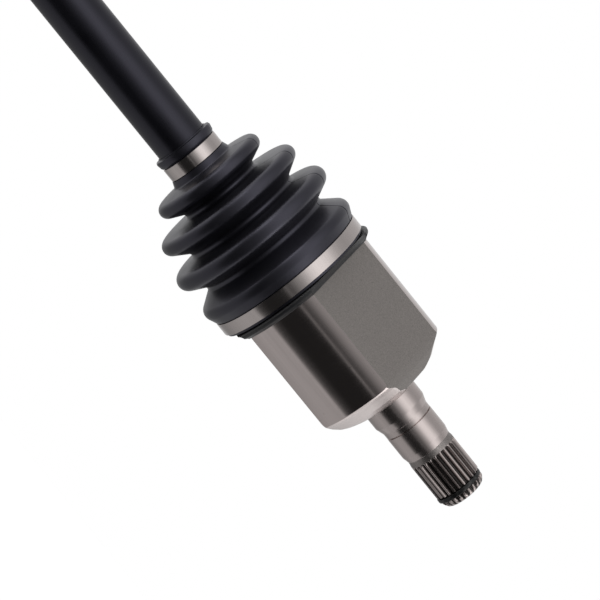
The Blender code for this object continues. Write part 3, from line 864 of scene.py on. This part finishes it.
def boot_piece(name, lines, low, high):
    """The part of a boot between two stations, as one closed wall with its parting line."""
    outer, inner = (stretch(line, low, high) for line in lines)
    profile = np.array(outer + inner[::-1])
    azimuths = boot_azimuths()
    distance = np.abs(azimuths - SEAM_AZIMUTH)
    seam = np.clip(1.0 - distance / SEAM_HALF_WIDTH, 0.0, 1.0)
    outside = np.arange(len(profile)) < len(outer)
    radii = profile[:, :1] - SEAM_DEPTH * seam[None, :] * outside[:, None]
    piece = skin(name, radii, profile[:, 1:], azimuths, closed=True)
    place = np.array([vertex.co for vertex in piece.data.vertices])
    past = np.mod(np.degrees(np.arctan2(place[:, 1], -place[:, 2])), 360.0) - SEAM_AZIMUTH
    # seam: where the rubber's colour gets painted shade along the parting line
    line = np.clip(1.0 - np.abs(past) / SEAM_HALF_WIDTH, 0.0, 1.0)
    # start * end: the half past the parting line that gets painted rim light
    start = np.clip(-past / SEAM_HALF_WIDTH, 0.0, 1.0)
    end = np.clip(1.0 + (past + RIM_LIGHT_REACH) / RIM_LIGHT_FADE, 0.0, 1.0)
    for title, values in (("seam", line), ("painted_rim_light_half", start * end)):
        piece.data.attributes.new(title, "FLOAT", "POINT").data.foreach_set("value", values)
    # the faces in the parting line's middle get the near-black painted-shade material
    for face in piece.data.polygons:
        centre = math.degrees(math.atan2(face.center.y, -face.center.z)) % 360.0
        if abs(centre - SEAM_AZIMUTH) < 0.5 * SEAM_HALF_WIDTH and len(face.vertices) == 4:
            face.material_index = 1
    return piece


def make_inboard_boot():
    """The sliding joint's boot in two pieces: one on the bar's side, the other on the housing's side.
    """
    lines = boot_lines(
        INBOARD_RIDGES,
        large_out=[(42.0, -137.9), (42.0, -146.3), (42.9, -146.6)],
        large_in=[(39.9, -137.9), (39.9, -147.4)],
        neck_out=[(15.8, -214.2), (14.7, -214.3)],
        neck_in=[(13.2, -212.2)],
        end=-227.0,
        sign=1.0,
    )
    bar_side = boot_piece("inboard_boot_bar_side", lines, -230.0, INBOARD_SPLIT)
    housing_side = boot_piece("inboard_boot_housing_side", lines, INBOARD_SPLIT, -130.0)
    for piece in (bar_side, housing_side):
        finish_piece(piece, [RUBBER, SEAM_SHADE_RUBBER], "inboard_boot")
    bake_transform(bar_side)
    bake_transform(housing_side)


def make_outboard_boot():
    """The fixed joint's boot in two pieces: one on the bar's side, the other on the bell's side."""
    lines = boot_lines(
        OUTBOARD_RIDGES,
        large_out=[(42.0, -490.4), (42.0, -482.4), (43.0, -482.0)],
        large_in=[(40.0, -490.4), (40.0, -478.9)],
        neck_out=[(15.8, -412.6), (14.7, -412.5)],
        neck_in=[(13.2, -414.4)],
        end=-400.0,
        sign=-1.0,
    )
    bar_side = boot_piece("outboard_boot_bar_side", lines, OUTBOARD_SPLIT, -390.0)
    bell_side = boot_piece("outboard_boot_bell_side", lines, -500.0, OUTBOARD_SPLIT)
    for piece in (bar_side, bell_side):
        finish_piece(piece, [RUBBER, SEAM_SHADE_RUBBER], "outboard_boot")
    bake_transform(bar_side)
    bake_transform(bell_side)


# --- clamps ----------------------------------------------------------------------------------------
BAND = 0.7  # the clamps' sheet
EAR_REACH = 4.6  # along the band, from the ear's middle to its foot
EAR_PINCH = 2.2  # and to where it is pinched


def clamp(name, node, body, radius, low, high, ear):
    """A stainless band clamp whose pinched ear, at the azimuth ear, stands proud of it."""
    middle = radius - BAND / 2.0
    half_width, pinch = math.degrees(EAR_REACH / middle), math.degrees(EAR_PINCH / middle)
    ear_path = [
        (middle, -half_width),
        (middle + 0.5, -half_width * 0.86),
        (middle + 1.4, -half_width * 0.72),
        (middle + 1.7, -pinch * 0.75),
        (middle + 2.3, -pinch * 0.95),
        (middle + 2.75, -pinch * 0.55),
        (middle + 2.85, 0.0),
    ]
    ear_path += [(r, -a) for r, a in ear_path[-2::-1]]
    plain = np.linspace(half_width, 360.0 - half_width, 140)[1:-1]
    path = [(r, a + ear) for r, a in ear_path] + [(middle, a + ear) for a in plain]
    band = swept_band(name, path, low, high, BAND, 0.22)
    finish_piece(band, [BAND_STEEL], node, body)


def make_clamps():
    """A large and a small clamp on each boot, with their ears on the far side."""
    large, small = {"radius": 43.0, "ear": 60.0}, {"radius": 15.6, "ear": 75.0}
    clamp("inboard_large_band", "inboard_clamp_large", "housing", low=-146.0, high=-139.2, **large)
    clamp("inboard_small_band", "inboard_clamp_small", "shaft", low=-221.4, high=-214.5, **small)
    clamp("outboard_large_band", "outboard_clamp_large", "bell", low=-489.6, high=-482.8, **large)
    clamp("outboard_small_band", "outboard_clamp_small", "shaft", low=-412.3, high=-405.6, **small)


# --- the outboard joint ----------------------------------------------------------------------------
HUB_FACE = -541.0
CAVITY_R = 31.3  # the ball in which the cage turns
TRACK_R = 27.5  # the rings that the drive balls run in
TRACK_SECTION_R = 9.4
THREAD_START = -589.4
THREAD_R = 11.0
THREAD_PITCH = 1.5
THREAD_DEPTH = 0.85
THREAD_COLUMNS = 72


def face_ends(piece, station):
    """Gives the second material, the duller faced steel, to the flat end face at a station."""
    for face in piece.data.polygons:
        if face.normal.x < -0.9 and abs(face.center.x / MM - station) < 0.3:
            face.material_index = 1


def make_bell():
    """The bell's shell, hollow inside with its six ball tracks."""
    profile = [
        (33.2, -480.0),
        (38.6, -480.0, 0.4),
        (39.1, -481.2),
        (39.1, -490.9, 0.4),
        (42.5, -491.2, 0.4),
        (43.0, -492.0, 0.5),
        (43.0, -520.0, 3.0),
        (41.8, -525.5, 3.0),
        (36.5, -531.0, 4.0),
        (29.5, -535.0, 2.0),
        (27.5, -538.0, 0.8),
        (27.0, HUB_FACE, 0.4),
        (15.5, HUB_FACE, 0.3),
        (14.2, -542.0, 0.3),
        (14.2, -544.0, 0.6),
        (12.7, -546.0, 0.6),
        (12.7, -547.0),
    ]
    bell = turned("bell_shell", densified(rounded(profile), 2.0))
    cavity = [(0.3, OUTBOARD_CENTRE - CAVITY_R)]
    for a in np.radians(np.linspace(-88.0, 26.0, 40)):
        cavity.append((CAVITY_R * math.cos(a), OUTBOARD_CENTRE + CAVITY_R * math.sin(a)))
    cavity += [(33.2, -479.5), (33.2, -476.0), (0.3, -476.0)]
    cutters = [turned("cavity", np.array(cavity), 96)]
    for turn in range(3):
        bpy.ops.mesh.primitive_torus_add(
            major_segments=72,
            minor_segments=24,
            major_radius=TRACK_R * MM,
            minor_radius=TRACK_SECTION_R * MM,
            location=(OUTBOARD_CENTRE * MM, 0.0, 0.0),
            rotation=(math.radians(90.0 + 60.0 * turn), 0.0, 0.0),
        )
        cutters.append(bpy.context.object)
    bpy.context.view_layer.update()
    carve(bell, cutters)
    finish_piece(bell, [STEEL, FACED_STEEL], "outboard_bell", "bell")
    face_ends(bell, HUB_FACE)


def make_hub_spline():
    """The stub that goes through the wheel hub: 28 teeth and a plain end."""
    profile = [
        (CORE_R, -546.6),
        (12.6, -546.6),
        (12.9, -547.6, 0.4),
        (13.4, -549.0, 0.4),
        (13.4, -586.0, 0.3),
        (12.0, -588.0, 0.3),
        (11.9, -589.6),
        (CORE_R, -589.6),
    ]
    line = densified(rounded(profile, 0.2), 1.5)
    root = groove_root(12.0, start=-600.0, end=-552.0, run=3.0)
    spline = toothed("hub_spline", line, 28, root)
    finish_piece(spline, [TOOTH_STEEL, ROUGH_STEEL], "outboard_bell", "bell")
    paint_rough(spline, -549.6, -547.2)


def make_thread():
    """The thread for the axle nut, a true helix that runs out at both ends."""
    stations = np.append(np.arange(THREAD_START, AXLE_END, -THREAD_PITCH / 10.0), AXLE_END)
    azimuths = even(THREAD_COLUMNS)
    turn = stations[:, None] / THREAD_PITCH + azimuths[None, :] / 360.0
    flank = np.clip(1.25 - 2.75 * np.abs(turn % 1.0 - 0.5), 0.0, 1.0)
    from_start, from_end = THREAD_START - stations, stations - AXLE_END
    fade = np.clip(from_start / 2.0, 0.0, 1.0) * np.clip(from_end / 1.2, 0.0, 1.0)
    chamfer = np.minimum(THREAD_R, 9.5 + from_end)
    radii = chamfer[:, None] - THREAD_DEPTH * (1.0 - flank) * fade[:, None]
    core = np.full((1, THREAD_COLUMNS), CORE_R)
    radii = np.vstack([core, radii, core])
    stations = np.concatenate([[THREAD_START], stations, [AXLE_END]])
    thread = skin("nut_thread", radii, stations[:, None], azimuths)
    finish_piece(thread, [STEEL, FACED_STEEL], "outboard_bell", "bell")
    face_ends(thread, AXLE_END)


def make_nut():
    """The flanged hexagon nut with chamfered corners."""
    half_across_flats, flange_end = 16.0, -596.6
    profile = rounded(
        [
            (11.3, -594.2),
            (19.6, -594.2, 0.3),
            (20.0, -595.0, 0.4),
            (19.4, -596.4, 0.6),
            (18.6, -598.0, 0.6),
            (18.6, -609.6, 0.4),
            (16.2, -611.0, 0.3),
            (12.2, -611.0),
            (11.3, -610.2),
        ],
        0.2,
        closed=True,
    )
    azimuths = even(180)
    away = (azimuths + 30.0) % 60.0 - 30.0
    hexagon = half_across_flats / np.cos(np.radians(away))
    worn_corner = 0.25 * np.exp(-(((np.abs(away) - 30.0) / 1.2) ** 2))
    limit = np.where(profile[:, 1:] < flange_end, (hexagon - worn_corner)[None, :], NO_LIMIT)
    nut = skin("hub_nut", np.minimum(profile[:, :1], limit), profile[:, 1:], azimuths, closed=True)
    finish_piece(nut, [ZINC], "axle_nut", "bell")


# --- pieces that keep their CAD shape --------------------------------------------------------------
def finish_internals():
    """The joints' inner pieces keep their CAD shape and get the right metal."""
    for name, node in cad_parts.items():
        if node.hide_render:
            continue
        ring = "circlip" in name or "retainer" in name or "stop_ring" in name
        node.data.materials.clear()
        node.data.materials.append(RING_STEEL if ring else BEARING)


# --- the studio ------------------------------------------------------------------------------------
# Degrees round the axle from straight up towards the front (-Y), and how bright the room is there.
LIGHT_ROUND_THE_AXLE = (
    (-180.0, 0.46),
    (-150.0, 0.37),
    (-134.0, 0.29),
    (-122.0, 0.27),
    (-100.0, 0.60),
    (-74.0, 0.72),
    (-50.0, 0.56),
    (-26.0, 0.50),
    (-2.0, 0.42),
    (10.0, 0.45),
    (20.0, 0.58),
    (34.0, 0.93),
    (46.0, 1.14),
    (58.0, 1.14),
    (66.0, 0.96),
    (74.0, 0.62),
    (82.0, 0.36),
    (90.0, 0.235),
    (95.0, 0.13),
    (99.0, 0.07),
    (102.0, 0.06),
    (104.0, 0.30),
    (106.0, 0.03),
    (114.0, 0.018),
    (140.0, 0.018),
    (148.0, 0.05),
    (153.5, 0.12),
    (157.5, 0.47),
    (166.0, 0.42),
    (180.0, 0.46),
)
LIGHT_AT_THE_ENDS = 1.0  # in the back half of the room
LIFT_AT_THE_ENDS = 2.6  # how many times brighter the front half gets straight along the axle


def make_world():
    """A white room whose brightness depends on the angle round the axle, as softboxes would give."""
    world = bpy.data.worlds.new("studio")
    bpy.context.scene.world = world
    room = Nodes(world)
    room.tree.nodes.clear()
    place = room.add("ShaderNodeTexCoord").outputs["Generated"]
    along, back, up = room.add("ShaderNodeSeparateXYZ", {0: place}).outputs
    angle = room.math("ARCTAN2", room.math("MULTIPLY", back, -1.0), up)
    around = room.add("ShaderNodeValToRGB", {"Fac": room.ramp(angle, -math.pi, math.pi)})
    elements = around.color_ramp.elements
    while len(elements) > 1:
        elements.remove(elements[-1])
    for i, (degrees, level) in enumerate(LIGHT_ROUND_THE_AXLE):
        position = (degrees + 180.0) / 360.0
        element = elements[0] if i == 0 else elements.new(position)
        element.position = position
        element.color = (level, level, level, 1.0)
    endwise = room.math("ABSOLUTE", along)
    lift = room.ramp(endwise, 0.8, 0.97, 1.0, LIFT_AT_THE_ENDS, kind="SMOOTHSTEP")
    inputs = {0: around.outputs["Color"], "Scale": lift}
    lifted = room.add("ShaderNodeVectorMath", inputs, operation="SCALE").outputs[0]
    at_the_ends = room.ramp(endwise, 0.35, 0.9, kind="SMOOTHSTEP")
    behind = room.ramp(back, 0.15, 0.5, kind="SMOOTHSTEP")
    share = room.math("MULTIPLY", at_the_ends, behind)
    inputs = {"Fac": share, "Color1": lifted, "Color2": (LIGHT_AT_THE_ENDS,) * 3 + (1.0,)}
    whole = room.add("ShaderNodeMixRGB", inputs).outputs["Color"]
    lit = room.add("ShaderNodeBackground", {"Color": whole})
    seen = room.add("ShaderNodeBackground", {"Color": (1.0, 1.0, 1.0, 1.0)})
    by_camera = room.add("ShaderNodeLightPath").outputs["Is Camera Ray"]
    inputs = {"Fac": by_camera, 1: lit.outputs[0], 2: seen.outputs[0]}
    room.add("ShaderNodeOutputWorld", {"Surface": room.add("ShaderNodeMixShader", inputs).outputs[0]})


def make_floor():
    """A pale round floor well below the axle, too far down to show in the main view."""
    below = (0.0, 0.0, -1.0)
    bpy.ops.mesh.primitive_circle_add(vertices=96, radius=8.0, fill_type="NGON", location=below)
    floor = bpy.context.object
    floor.name = "studio_floor"
    pale = Look("floor", (0.82, 0.82, 0.82), 0.9)
    pale.shader.inputs["Emission Color"].default_value = (1.0, 1.0, 1.0, 1.0)
    pale.shader.inputs["Emission Strength"].default_value = 0.45
    floor.data.materials.append(pale.material)
    floor.visible_glossy = False
    floor.visible_diffuse = False


VIEW_TILT = math.radians(9.3)  # how far the camera looks along the axle
VIEW_ROLL = math.radians(50.96)
VIEW_DISTANCE = 1.45
VIEW_LENS = 176.0
VIEW_CENTRE = Vector((-0.129, 0.0, -0.0036))


def make_camera():
    """The camera looks from the front, a little along the axle, and is rolled over."""
    ahead = Vector((math.sin(VIEW_TILT), math.cos(VIEW_TILT), 0.0))
    level = Vector((math.cos(VIEW_TILT), -math.sin(VIEW_TILT), 0.0))
    up = Vector((0.0, 0.0, 1.0))
    right = level * math.cos(VIEW_ROLL) + up * math.sin(VIEW_ROLL)
    top = up * math.cos(VIEW_ROLL) - level * math.sin(VIEW_ROLL)
    data = bpy.data.cameras.new("camera")
    data.sensor_width = 36.0
    data.lens = VIEW_LENS
    data.clip_end = 100.0
    camera = bpy.data.objects.new("camera", data)
    bpy.context.scene.collection.objects.link(camera)
    rotation = Matrix((right, top, -ahead)).transposed().to_4x4()
    camera.matrix_world = Matrix.Translation(VIEW_CENTRE - ahead * VIEW_DISTANCE) @ rotation
    bpy.context.scene.camera = camera


# --- the whole axle --------------------------------------------------------------------------------
bpy.context.scene.view_settings.view_transform = "Standard"
make_camera()
make_world()
make_floor()
make_bar()
make_housing()
make_journals()
make_stub_spline()
make_stub_circlip()
make_adapter()
make_inboard_boot()
make_outboard_boot()
make_clamps()
make_bell()
make_hub_spline()
make_thread()
make_nut()
finish_internals()
